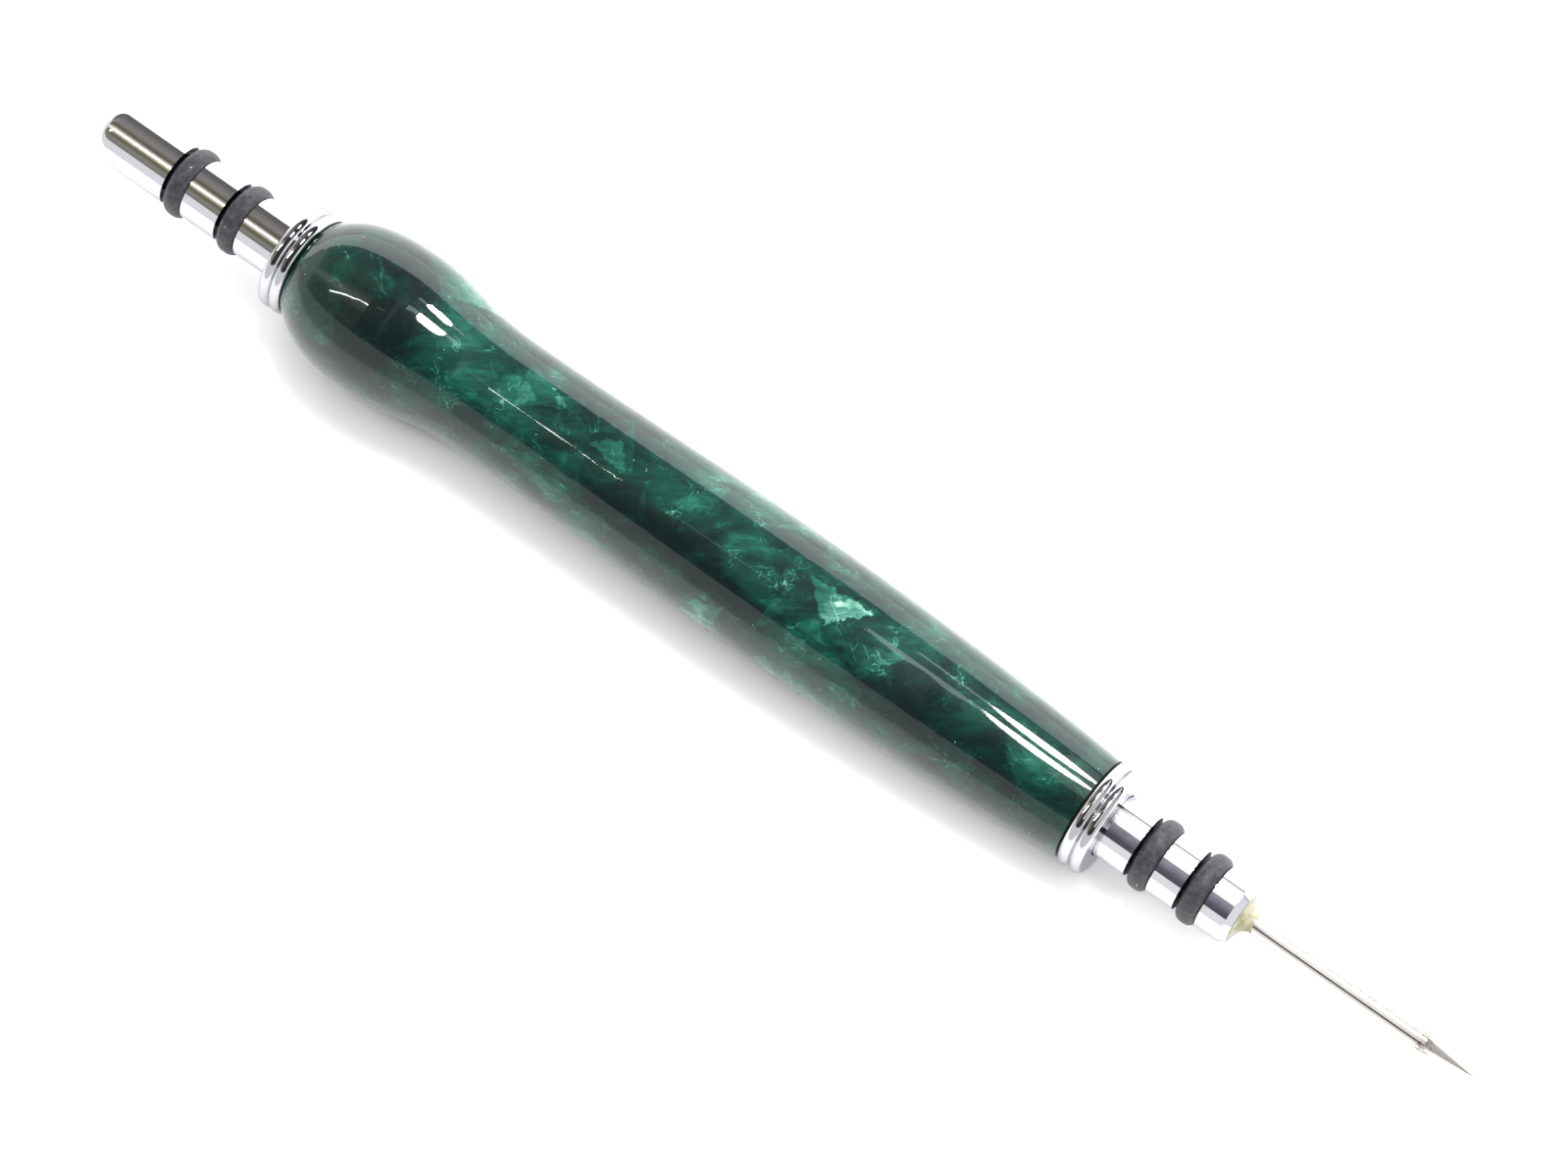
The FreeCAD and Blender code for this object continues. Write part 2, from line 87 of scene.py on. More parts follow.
class Nodes:
    """A short way to add and link the nodes of one tree."""

    def __init__(self, tree):
        self.tree = tree
        tree.nodes.clear()

    def add(self, kind, inputs=None, **settings):
        """Add a node: settings are its properties, inputs its socket values or links."""
        made = self.tree.nodes.new(f"ShaderNode{kind}")
        for name, value in settings.items():
            setattr(made, name, value)
        for name, value in (inputs or {}).items():
            if isinstance(value, bpy.types.NodeSocket):
                self.tree.links.new(value, made.inputs[name])
            else:
                made.inputs[name].default_value = value
        return made

    def math(self, operation, first, second=0.0, third=0.0, clamp=False):
        made = self.add("Math", {0: first, 1: second, 2: third}, operation=operation)
        made.use_clamp = clamp
        return made.outputs[0]

    def vector(self, operation, first, second=(0, 0, 0), scale=1.0):
        made = self.add("VectorMath", {0: first, 1: second, 3: scale}, operation=operation)
        return made.outputs["Value" if operation in ("DOT_PRODUCT", "LENGTH") else "Vector"]

    def mix(self, factor, first, second):
        made = self.add("Mix", data_type="RGBA")
        for socket, value in ((0, factor), (6, first), (7, second)):
            if isinstance(value, bpy.types.NodeSocket):
                self.tree.links.new(value, made.inputs[socket])
            else:
                made.inputs[socket].default_value = value
        return made.outputs[2]

    def steps(self, value, low, high, out_low=0.0, out_high=1.0):
        """A smooth step from out_low at low to out_high at high."""
        made = self.add("MapRange", {"Value": value, "From Min": low, "From Max": high,
                                     "To Min": out_low, "To Max": out_high},
                        interpolation_type="SMOOTHSTEP")
        return made.outputs["Result"]

    def ramp(self, value, stops):
        made = self.add("ValToRGB", {"Fac": value})
        elements = made.color_ramp.elements
        while len(elements) < len(stops):
            elements.new(0.5)
        for element, (place, colour) in zip(elements, stops):
            element.position = place
            element.color = (*colour, 1.0)
        return made.outputs["Color"]

    def millimetres(self):
        """The surface point in the part's own frame, in millimetres."""
        point = self.add("TexCoord").outputs["Object"]
        return self.vector("SCALE", point, scale=PER_METRE)

    def along(self, point):
        """A point's place along the tool."""
        return self.add("SeparateXYZ", {"Vector": point}).outputs["X"]

    def noise(self, vector, scale, detail=3.0, roughness=0.5, distortion=0.0, output="Fac"):
        made = self.add("TexNoise", {"Vector": vector, "Scale": scale, "Detail": detail,
                                     "Roughness": roughness, "Distortion": distortion})
        return made.outputs[output]

    def grain(self, point, stretch, detail=3.0):
        """Noise drawn out by a different amount along each axis."""
        return self.noise(self.vector("MULTIPLY", point, stretch), 1.0, detail=detail)

    def turned(self, point, axis, degrees):
        """The point turned round an axis."""
        made = self.add("VectorRotate", {"Vector": point, "Axis": axis, "Angle": math.radians(degrees)})
        return made.outputs["Vector"]

    def cells(self, vector, scale, blur=0.0):
        """A Voronoi pattern: blur above 0 softens its borders."""
        made = self.add("TexVoronoi", {"Vector": vector, "Scale": scale},
                        feature="SMOOTH_F1" if blur else "F1")
        if blur:
            made.inputs["Smoothness"].default_value = blur
        return made

    def draw(self, cell, channel):
        """A number from 0 to 1 that differs from cell to cell."""
        return self.add("SeparateColor", {"Color": cell.outputs["Color"]}).outputs[channel]

    def bump(self, height, strength, distance_mm):
        return self.add("Bump", {"Height": height, "Strength": strength,
                                 "Distance": distance_mm * MM}).outputs["Normal"]


def new_material(name):
    """A material with an empty tree, its nodes and its Principled shader."""
    material = bpy.data.materials.new(name)
    material.use_nodes = True
    nodes = Nodes(material.node_tree)
    shader = nodes.add("BsdfPrincipled")
    nodes.add("OutputMaterial", {"Surface": shader.outputs["BSDF"]})
    return material, nodes, shader


def feed(nodes, shader, **inputs):
    """Link or set the shader's sockets; an underscore stands for a space in a socket's name."""
    for name, value in inputs.items():
        socket = shader.inputs[name.replace("_", " ")]
        if isinstance(value, bpy.types.NodeSocket):
            nodes.tree.links.new(value, socket)
        else:
            socket.default_value = value


def handle_place(along, lean):
    """A point on the handle, in millimetres: along is its share of the length from the rear end,
    lean the angle in degrees round the axis from straight up towards +Y."""
    low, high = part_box("handle_body")
    outward = round_the_axis(math.radians(lean))
    outside = ALONG * (low[0] + (high[0] - low[0]) * along) + outward * high[2] * 2.0
    hit = HANDLE_SURFACE.ray_cast(outside, -outward)[0]
    return hit * PER_METRE, outward


def reach(nodes, point, spot):
    """How far a point lies from a spot along the spot's length and across it, 1 being at its rim, and
    whether it is on the spot's side of the handle."""
    along, lean, length, width, turn = spot
    centre, outward = handle_place(along, lean)
    sideways = ALONG.cross(outward)
    angle = math.radians(turn)
    first = ALONG * math.cos(angle) + sideways * math.sin(angle)
    second = outward.cross(first)
    both = []
    for axis in (first * 2.0 / length, second * 2.0 / width):
        distance = nodes.vector("DOT_PRODUCT", point, axis)
        both.append(nodes.math("SUBTRACT", distance, centre.dot(axis)))
    near = nodes.math("GREATER_THAN", nodes.vector("DOT_PRODUCT", point, outward), 0.0)
    return both[0], both[1], near


def chip(nodes, point, spot):
    """A three-sided shard with crisp edges, brightest at its point."""
    base, edge = 0.12, 0.10
    fade, middle_shade = -0.28, 0.72
    first, second, near = reach(nodes, point, spot)
    spread = nodes.math("ADD", nodes.math("ABSOLUTE", first), nodes.math("ABSOLUTE", second))
    point_side = nodes.math("SUBTRACT", 1.0, spread)
    inside = nodes.math("MINIMUM", point_side, nodes.math("ADD", second, base))
    shade = nodes.math("MULTIPLY_ADD", first, fade, middle_shade)
    return nodes.math("MULTIPLY", nodes.math("MULTIPLY", nodes.steps(inside, 0.0, edge), near), shade)


def soft_patch(nodes, point, spot):
    """A round patch that fades towards its rim."""
    rim = 1.2
    first, second, near = reach(nodes, point, spot)
    square = nodes.math("MULTIPLY_ADD", first, first, nodes.math("MULTIPLY", second, second))
    return nodes.math("MULTIPLY", nodes.steps(square, 0.0, rim, 1.0, 0.0), near)


# The chips and clouds that stand out in the casting, with painted reflection among the clouds: share of the
# length, lean, length and width in millimetres, turn in degrees, and how much brighter or darker each one
# makes it.
CHIPS = [
    ((0.680, 9.0, 8.2, 7.4, 176.0), 0.52), ((0.702, 8.0, 6.4, 2.4, -24.0), 0.26),
    ((0.398, -7.0, 5.2, 5.0, 6.0), 0.34), ((0.735, -14.0, 8.0, 6.6, 160.0), 0.26),
    ((0.760, -24.0, 5.0, 3.0, 30.0), 0.20), ((0.563, -66.0, 6.4, 6.0, 150.0), 0.30),
    ((0.575, -56.0, 4.4, 3.4, -20.0), 0.24), ((0.300, 16.0, 7.2, 8.4, 200.0), 0.22),
    ((0.335, 8.0, 4.6, 4.6, 12.0), 0.20), ((0.330, -62.0, 9.6, 5.4, 8.0), 0.22),
    ((0.610, 42.0, 7.0, 5.2, -24.0), 0.20), ((0.150, 60.0, 13.0, 11.0, 176.0), 0.42),
    ((0.500, 12.0, 7.0, 5.0, 120.0), 0.16), ((0.870, -70.0, 7.0, 4.2, 10.0), 0.20),
    ((0.640, -30.0, 8.0, 3.4, -62.0), 0.18), ((0.790, 44.0, 6.0, 3.6, 190.0), 0.14),
]
# Painted reflection: the 120 mm bands at lean 58 and -84 and the patch at lean 52 on the rear bulge brighten
# the handle's sides where the tent's walls are mirrored.
CLOUDS_AND_SHEEN = [
    ((0.045, -34.0, 12.0, 11.0, 0.0), 0.06), ((0.115, -6.0, 15.0, 19.0, 0.0), -0.32),
    ((0.500, 58.0, 120.0, 24.0, 0.0), 0.10), ((0.820, -32.0, 13.0, 6.0, 20.0), -0.08),
    ((0.530, -34.0, 15.0, 5.0, 4.0), -0.22), ((0.605, -36.0, 12.0, 5.0, -20.0), -0.12),
    ((0.425, -34.0, 20.0, 7.0, 0.0), -0.14), ((0.120, 52.0, 24.0, 20.0, 0.0), 0.10),
    ((0.500, -84.0, 120.0, 16.0, 0.0), 0.07), ((0.940, -16.0, 22.0, 16.0, 0.0), -0.02),
]
# The pale threads: turn in degrees, width as a share of the noise's range, and how much they brighten it.
THREADS = [(38.0, 0.014, 0.34), (-52.0, 0.011, 0.30), (8.0, 0.010, 0.22), (74.0, 0.009, 0.24)]
# The random chips, coarse to fine: cells per millimetre, share shown, raggedness, blur and weight.
CHIP_LAYERS = [(0.10, 0.60, 0.8, 0.35, 0.26), (0.22, 0.42, 0.6, 0.12, 0.20), (0.55, 0.30, 0.3, 0.0, 0.11)]
# The acrylic's colours, from its darkest depths to its palest chips.
ACRYLIC = [(0.22, (0.0016, 0.0085, 0.0075)), (0.33, (0.0018, 0.0190, 0.0145)),
           (0.45, (0.0028, 0.0450, 0.0300)), (0.56, (0.0090, 0.1000, 0.0680)),
           (0.70, (0.0700, 0.2350, 0.1750)), (0.86, (0.3300, 0.5400, 0.4500))]
PATTERN_GAIN = 0.66
MID_GREY = (0.5, 0.5, 0.5)


def chip_layer(nodes, point, scale, share, ragged, blur):
    """Loose angular chips of one size: each fades from one edge to the other."""
    contrast = 2.6
    rough = nodes.noise(point, 0.9, detail=2.0, output="Color")
    shift = nodes.vector("SCALE", nodes.vector("SUBTRACT", rough, MID_GREY), scale=ragged)
    moved = nodes.vector("SCALE", nodes.vector("ADD", point, shift), scale=scale)
    cell = nodes.cells(moved, 1.0, blur)
    local = nodes.vector("SUBTRACT", moved, cell.outputs["Position"])
    lean = nodes.vector("SUBTRACT", cell.outputs["Color"], MID_GREY)
    fade = nodes.math("MULTIPLY_ADD", nodes.vector("DOT_PRODUCT", local, lean), contrast, 0.5, clamp=True)
    shown = nodes.steps(nodes.draw(cell, "Green"), 1.0 - share, 1.0)
    return nodes.math("MULTIPLY", fade, shown)


def wisps(nodes, point, turn, width):
    """Fine pale threads, drawn out along one direction: where a noise crosses its middle."""
    drawn = nodes.vector("MULTIPLY", nodes.turned(point, (0.3, 0.2, 1.0), turn), (0.09, 0.40, 0.40))
    field = nodes.noise(drawn, 1.0, detail=4.0, roughness=0.55, distortion=0.5)
    off = nodes.math("ABSOLUTE", nodes.math("SUBTRACT", field, 0.5))
    thread = nodes.steps(off, 0.0, width, 1.0, 0.0)
    place = nodes.vector("ADD", point, (turn, 0.0, 0.0))
    sparse = nodes.steps(nodes.noise(place, 0.30, detail=1.0), 0.50, 0.68)
    return nodes.math("MULTIPLY", thread, sparse)


def sparkles(nodes, point):
    """Dust-sized bright specks."""
    rarity = 0.90
    cell = nodes.cells(point, 1.1)
    dot = nodes.steps(cell.outputs["Distance"], 0.05, 0.09, 1.0, 0.0)
    return nodes.math("MULTIPLY", dot, nodes.math("GREATER_THAN", nodes.draw(cell, "Blue"), rarity))


def placed_chips(nodes, point, total):
    """Add the chips that stand out, their outlines torn by a noise."""
    tear = 1.9
    rough = nodes.noise(point, 1.0, detail=4.0, roughness=0.6, output="Color")
    off = nodes.vector("SUBTRACT", rough, MID_GREY)
    torn = nodes.vector("ADD", point, nodes.vector("SCALE", off, scale=tear))
    for spot, weight in CHIPS:
        total = nodes.math("MULTIPLY_ADD", chip(nodes, torn, spot), weight, total)
    return total


def acrylic_pattern(nodes, point):
    """How bright the casting is at a point: flow, chips, clouds, painted reflection along the sides, fine
    strokes, threads and sparkles.
    """
    flow_offset, stroke_gain, sparkle_gain = 0.045, 0.36, 1.3
    slanted = nodes.turned(point, (0.2, -0.1, 1.0), -34.0)
    flow = nodes.vector("MULTIPLY", slanted, (0.09, 0.20, 0.20))
    total = nodes.noise(flow, 1.0, detail=5.0, roughness=0.60, distortion=0.9)
    total = nodes.math("SUBTRACT", total, flow_offset)
    for scale, share, ragged, blur, weight in CHIP_LAYERS:
        layer = chip_layer(nodes, point, scale, share, ragged, blur)
        total = nodes.math("MULTIPLY_ADD", layer, weight, total)
    # Clouds in the casting, and the painted reflection bands along the handle's sides.
    for spot, weight in CLOUDS_AND_SHEEN:
        total = nodes.math("MULTIPLY_ADD", soft_patch(nodes, point, spot), weight, total)
    total = placed_chips(nodes, point, total)
    strokes = nodes.math("SUBTRACT", nodes.grain(slanted, (0.5, 2.6, 2.6)), 0.5)
    total = nodes.math("MULTIPLY_ADD", nodes.math("MULTIPLY", strokes, total), stroke_gain, total)
    for turn, width, weight in THREADS:
        total = nodes.math("MULTIPLY_ADD", wisps(nodes, point, turn, width), weight, total)
    return nodes.math("MAXIMUM", total, nodes.math("MULTIPLY", sparkles(nodes, point), sparkle_gain))


def handle_ends(nodes, point):
    """1 on the handle's last fractions of a millimetre, in the collars' shade, and 0 elsewhere."""
    shade_starts, shade_full = 0.26, 0.16
    middle, half = length_span("handle_body")
    from_middle = nodes.math("ABSOLUTE", nodes.math("SUBTRACT", nodes.along(point), middle))
    return nodes.steps(from_middle, half - shade_starts, half - shade_full)


def pearl_acrylic():
    """Dark green cast acrylic full of pearly chips and threads, polished under a clear gloss."""
    material, nodes, shader = new_material("pearl_acrylic")
    point = nodes.millimetres()
    at_end = handle_ends(nodes, point)
    colour = nodes.ramp(nodes.math("MULTIPLY", acrylic_pattern(nodes, point), PATTERN_GAIN), ACRYLIC)
    colour = nodes.mix(at_end, colour, (0.004, 0.005, 0.001, 1.0))
    scuffs = nodes.noise(point, 3.2, detail=3.0, roughness=0.6)
    feed(nodes, shader, Base_Color=colour, Roughness=0.4, IOR=1.49, Specular_IOR_Level=0.15,
         Coat_Weight=nodes.math("SUBTRACT", 1.0, at_end), Coat_Roughness=0.015, Coat_IOR=1.45,
         Coat_Normal=nodes.bump(scuffs, 0.14, 0.006))
    return material


def painted_groove_shade(nodes, point, rings):
    """1 on the floors and walls of the awl shank's grooves that hold the named rings and just beside them, 0
    elsewhere: where shade is painted.
    """
    skin, beside_ring = 0.06, 0.8
    radial = nodes.vector("LENGTH", nodes.vector("MULTIPLY", point, (0.0, 1.0, 1.0)))
    inside = nodes.math("LESS_THAN", radial, radius_of("awl_shank") - skin)
    found = 0.0
    for ring in rings:
        middle, half = length_span(ring)
        off = nodes.math("ABSOLUTE", nodes.math("SUBTRACT", nodes.along(point), middle))
        found = nodes.math("MAXIMUM", found, nodes.math("LESS_THAN", off, half + beside_ring))
    return nodes.math("MULTIPLY", inside, found)


def chrome(name, tint, rings=()):
    """Bright plate with a faint haze and hairline turning marks; named rings' grooves are dull, with painted
    shade.
    """
    material, nodes, shader = new_material(name)
    point = nodes.millimetres()
    haze = nodes.noise(point, 0.9, detail=4.0)
    roughness = nodes.steps(haze, 0.3, 0.75, 0.05, 0.10)
    hairlines = nodes.grain(point, (9.0, 0.25, 0.25), detail=2.0)
    colour = nodes.mix(nodes.steps(hairlines, 0.35, 0.75, 0.0, 0.10), (*tint, 1.0), (0.55, 0.55, 0.60, 1.0))
    if rings:
        groove_shade = painted_groove_shade(nodes, point, rings)
        # Painted shade: the grooves and the plate just beside the rings are darkened.
        colour = nodes.mix(groove_shade, colour, (0.03, 0.03, 0.045, 1.0))
        roughness = nodes.math("MAXIMUM", roughness, nodes.math("MULTIPLY", groove_shade, 0.5))
    feed(nodes, shader, Base_Color=colour, Metallic=1.0, Specular_Tint=(0.74, 0.74, 0.78, 1.0),
         Roughness=roughness)
    return material


def rubber():
    """Satin black nitrile with a fine grain, a dusty bloom and a few pale specks of dirt."""
    material, nodes, shader = new_material("ring_rubber")
    point = nodes.millimetres()
    dirt_rarity = 0.80
    grain = nodes.noise(point, 9.0, detail=5.0)
    bloom = nodes.steps(nodes.noise(point, 1.6, detail=5.0, roughness=0.7), 0.35, 0.80)
    colour = nodes.mix(bloom, (0.020, 0.018, 0.026, 1.0), (0.066, 0.063, 0.065, 1.0))
    speck = nodes.cells(point, 1.3)
    dot = nodes.steps(speck.outputs["Distance"], 0.07, 0.13, 1.0, 0.0)
    dirt = nodes.math("MULTIPLY", dot, nodes.math("GREATER_THAN", nodes.draw(speck, "Red"), dirt_rarity))
    colour = nodes.mix(dirt, colour, (0.50, 0.48, 0.46, 1.0))
    feed(nodes, shader, Base_Color=colour, Roughness=nodes.steps(grain, 0.3, 0.7, 0.40, 0.54),
         Normal=nodes.bump(grain, 0.25, 0.02))
    return material


def needle_steel():
    """Polished needle with a lengthwise grain, a mottled ring where the point begins and a ground point."""
    material, nodes, shader = new_material("needle_steel")
    point = nodes.millimetres()
    point_length, half_border, dulling = 5.7, 0.1, -0.25
    grain = nodes.grain(point, (0.2, 6.0, 6.0))
    x = nodes.along(point)
    shoulder = PER_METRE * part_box("awl_needle")[1][0] - point_length
    near = nodes.steps(nodes.math("ABSOLUTE", nodes.math("SUBTRACT", x, shoulder)), 0.3, 1.4, 1.0, 0.0)
    stain = nodes.steps(nodes.noise(point, 2.6, detail=4.0), 0.42, 0.58)
    mottled = nodes.math("MULTIPLY", near, stain)
    colour = nodes.mix(mottled, (0.76, 0.72, 0.67, 1.0), (0.34, 0.30, 0.25, 1.0))
    ground = nodes.steps(x, shoulder - half_border, shoulder + half_border)
    feed(nodes, shader, Base_Color=colour, Metallic=nodes.math("MULTIPLY_ADD", ground, dulling, 1.0),
         Specular_Tint=(0.40, 0.37, 0.32, 1.0), Roughness=nodes.steps(grain, 0.3, 0.7, 0.10, 0.18))
    return material


def blade_steel():
    """Ground ripper steel with fine lengthwise scratches."""
    material, nodes, shader = new_material("blade_steel")
    point = nodes.millimetres()
    scratch = nodes.grain(point, (0.25, 9.0, 9.0))
    stain = nodes.noise(point, 0.7, detail=3.0)
    colour = nodes.mix(nodes.steps(stain, 0.35, 0.75), (0.68, 0.68, 0.69, 1.0), (0.52, 0.51, 0.50, 1.0))
    feed(nodes, shader, Base_Color=colour, Metallic=1.0,
         Roughness=nodes.steps(scratch, 0.3, 0.7, 0.14, 0.32), Normal=nodes.bump(scratch, 0.2, 0.01))
    return material


def resin():
    """Pale yellow-olive set glue: cloudy, with trapped dust and small bubbles."""
    material, nodes, shader = new_material("set_resin")
    point = nodes.millimetres()
    haze = nodes.noise(point, 1.3, detail=4.0, roughness=0.6)
    colour = nodes.mix(nodes.steps(haze, 0.35, 0.65), (0.33, 0.32, 0.16, 1.0), (0.55, 0.53, 0.38, 1.0))
    dark = nodes.steps(nodes.cells(point, 1.5).outputs["Distance"], 0.08, 0.16, 0.7, 0.0)
    colour = nodes.mix(dark, colour, (0.10, 0.08, 0.04, 1.0))
    ripple = nodes.noise(point, 1.8, detail=2.0)
    feed(nodes, shader, Base_Color=colour, Roughness=0.22, IOR=1.52, Transmission_Weight=0.25,
         Normal=nodes.bump(ripple, 0.35, 0.25))
    return material


def brass():
    """Drawn brass tube, brushed lengthwise and a little tarnished."""
    material, nodes, shader = new_material("tube_brass")
    point = nodes.millimetres()
    brushed = nodes.grain(point, (0.15, 5.0, 5.0))
    tarnish = nodes.noise(point, 0.4, detail=4.0)
    colour = nodes.mix(nodes.steps(tarnish, 0.4, 0.7), (0.74, 0.52, 0.22, 1.0), (0.46, 0.30, 0.11, 1.0))
    feed(nodes, shader, Base_Color=colour, Metallic=1.0, Roughness=nodes.steps(brushed, 0.3, 0.7, 0.18, 0.38))
    return material


def red_plastic():
    """Moulded safety ball: glossy red with a faint orange-peel."""
    material, nodes, shader = new_material("ball_plastic")
    point = nodes.millimetres()
    peel = nodes.noise(point, 5.0, detail=2.0)
    colour = nodes.mix(nodes.steps(peel, 0.3, 0.7), (0.48, 0.010, 0.012, 1.0), (0.58, 0.020, 0.018, 1.0))
    feed(nodes, shader, Base_Color=colour, Roughness=0.18, Normal=nodes.bump(peel, 0.15, 0.03))
    return material


def rings_of(insert):
    """The names of the rubber rings on an insert."""
    return [name for name in frame["nodes"] if name.startswith(insert) and "_ring_" in name]


def dress_nodes(resin_material):
    """Give every CAD node its material, by the record's slot; the two shanks have a plate each."""
    finishes = {
        "handle_acrylic": pearl_acrylic(), "tube_brass": brass(),
        "collar_chrome": chrome("collar_chrome", (0.56, 0.56, 0.58)),
        "needle_steel": needle_steel(), "blade_steel": blade_steel(),
        "ring_rubber": rubber(), "set_resin": resin_material, "ball_plastic": red_plastic(),
    }
    shanks = {
        "awl_shank": chrome("awl_shank_chrome", (0.76, 0.76, 0.79), rings_of("awl")),
        "ripper_shank": chrome("ripper_shank_chrome", (0.72, 0.72, 0.75)),
    }
    for subpart in frame["record"]["subparts"]:
        node, slot = subpart["node"], subpart["material_slot"]
        finish = shanks[node] if node in shanks else finishes[slot]
        mesh = frame["nodes"][node].data
        mesh.materials.clear()
        mesh.materials.append(finish)


def resin_outline(turn):
    """The glue's foot radius and height, in millimetres, in one direction round the needle."""
    least_foot, least_height = 2.42, 1.42
    foot_sag, height_sag = 0.60, 0.16
    sag = 0.5 - 0.5 * math.cos(turn)
    lump = 0.10 * math.sin(3.0 * turn + 0.6) + 0.05 * math.sin(7.0 * turn)
    foot = least_foot + foot_sag * sag + lump * 0.9
    height = least_height + height_sag * sag + 0.12 * math.sin(2.0 * turn + 1.0)
    return foot, height


def resin_profile(turn, needle):
    """The glue's section in one direction, as (place along the tool, radius) in millimetres: up the
    hollow slope, and back down just inside the needle."""
    steps, hollow, rise, sunk = 16, 2.3, 1.15, 0.05
    foot, height = resin_outline(turn)
    slope = []
    for step in range(steps + 1):
        share = step / steps
        slope.append((height * share ** rise, needle + (foot - needle) * (1.0 - share) ** hollow))
    return slope + [(height, needle - sunk), (0.0, needle - sunk)]


def resin_mesh():
    """The glue's closed skin: its section carried round the needle."""
    sides, uphill = 72, math.radians(72.0)
    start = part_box("awl_resin")[0][0]
    needle = radius_of("awl_needle")
    shape = bmesh.new()
    rows = []
    for side in range(sides):
        turn = 2.0 * math.pi * side / sides
        outward = round_the_axis(turn + uphill)
        rows.append([shape.verts.new(outward * radius * MM + ALONG * (start + along * MM))
                     for along, radius in resin_profile(turn, needle)])
    for first, second in zip(rows, rows[1:] + rows[:1]):
        for index in range(len(first)):
            after = (index + 1) % len(first)
            shape.faces.new((first[index], first[after], second[after], second[index]))
    bmesh.ops.recalc_face_normals(shape, faces=shape.faces)
    mesh = bpy.data.meshes.new("resin_fillet")
    shape.to_mesh(mesh)
    shape.free()
    mesh.shade_smooth()
    return mesh


def make_resin_fillet(material):
    """The glue that holds the needle, run down to one side and hollowed as it set."""
    mesh = resin_mesh()
    mesh.materials.append(material)
    piece = bpy.data.objects.new("resin_fillet", mesh)
    bpy.context.scene.collection.objects.link(piece)
    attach(piece, "awl_insert")
    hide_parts("awl_resin")


def rest_plane():
    """The height and slope of the surface that the tool lies on, from the handle's two lowest swellings."""
    past_bulge = 0.01
    low = {}
    for vertex in HANDLE.vertices:
        along = round(vertex.co.x, 4)
        low[along] = min(low.get(along, 0.0), vertex.co.z)
    bulge = min(low, key=low.get)
    slope = min((low[x] - low[bulge]) / (x - bulge) for x in low if x > bulge + past_bulge)
    return low[bulge] - slope * bulge, slope


def make_floor():
    """A plain white sheet under the tool."""
    half = 2.0
    height, slope = rest_plane()
    corners = ((-half, -half), (half, -half), (half, half), (-half, half))
    mesh = bpy.data.meshes.new("floor")
    mesh.from_pydata([(x, y, height + slope * x) for x, y in corners], [], [(0, 1, 2, 3)])
    floor = bpy.data.objects.new("floor", mesh)
    bpy.context.scene.collection.objects.link(floor)
    material, nodes, shader = new_material("floor_white")
    feed(nodes, shader, Base_Color=(0.9, 0.9, 0.9, 1.0), Roughness=0.9)
    mesh.materials.append(material)


# What the polish mirrors across the tool, as brightness by lean angle in degrees: over the rear end and
# over the front end. The dim room shows elsewhere.
REAR_TENT = [(-61.0, (0.22, 0.21, 0.18)), (-48.0, (0.32, 0.31, 0.26)), (-33.0, (0.14, 0.14, 0.07)),
             (-25.0, (0.60, 0.60, 0.42)), (-18.0, (1.40, 1.40, 1.22)), (-11.0, (0.60, 0.57, 0.44)),
             (-3.0, (0.11, 0.10, 0.07)), (14.0, (0.36, 0.34, 0.31)), (40.0, (0.18, 0.17, 0.17)),
             (57.0, (0.15, 0.15, 0.15))]
FRONT_TENT = [(-61.0, (0.10, 0.10, 0.13)), (-44.0, (0.13, 0.13, 0.17)), (-22.0, (0.34, 0.34, 0.40)),
              (-4.0, (0.45, 0.45, 0.50)), (20.0, (0.10, 0.10, 0.11)), (45.0, (0.10, 0.10, 0.11)),
              (54.0, (0.35, 0.35, 0.38)), (57.0, (0.30, 0.30, 0.32))]
ROOM = (0.045, 0.045, 0.050, 1.0)
NEAR_WALL = (0.94, 0.95, 0.97, 1.0)
FAR_WALL = (2.75, 2.80, 2.85, 1.0)
# Where the tent's walls begin and are full: by lean in degrees, and by the direction's share along X.
FAR_WALL_LEAN = (57.0, 58.0)
NEAR_WALL_LEAN = (60.0, 61.5)
REAR_WALL_SHARE = (0.88, 0.94)
FRONT_WALL_SHARE = (0.58, 0.70)
# Where REAR_TENT gives way to the room, the room to FRONT_TENT, and FRONT_TENT to the room again.
REAR_TENT_END = (-0.335, -0.320)
FRONT_TENT_START = (-0.162, -0.150)
FRONT_TENT_END = (-0.118, -0.112)


def lean_ramp(nodes, lean, stops):
    """A colour by lean angle: the ramp runs from -90 to 90 degrees."""
    share = nodes.math("MULTIPLY_ADD", lean, 1.0 / math.pi, 0.5)
    return nodes.ramp(share, [(angle / 180.0 + 0.5, colour) for angle, colour in stops])


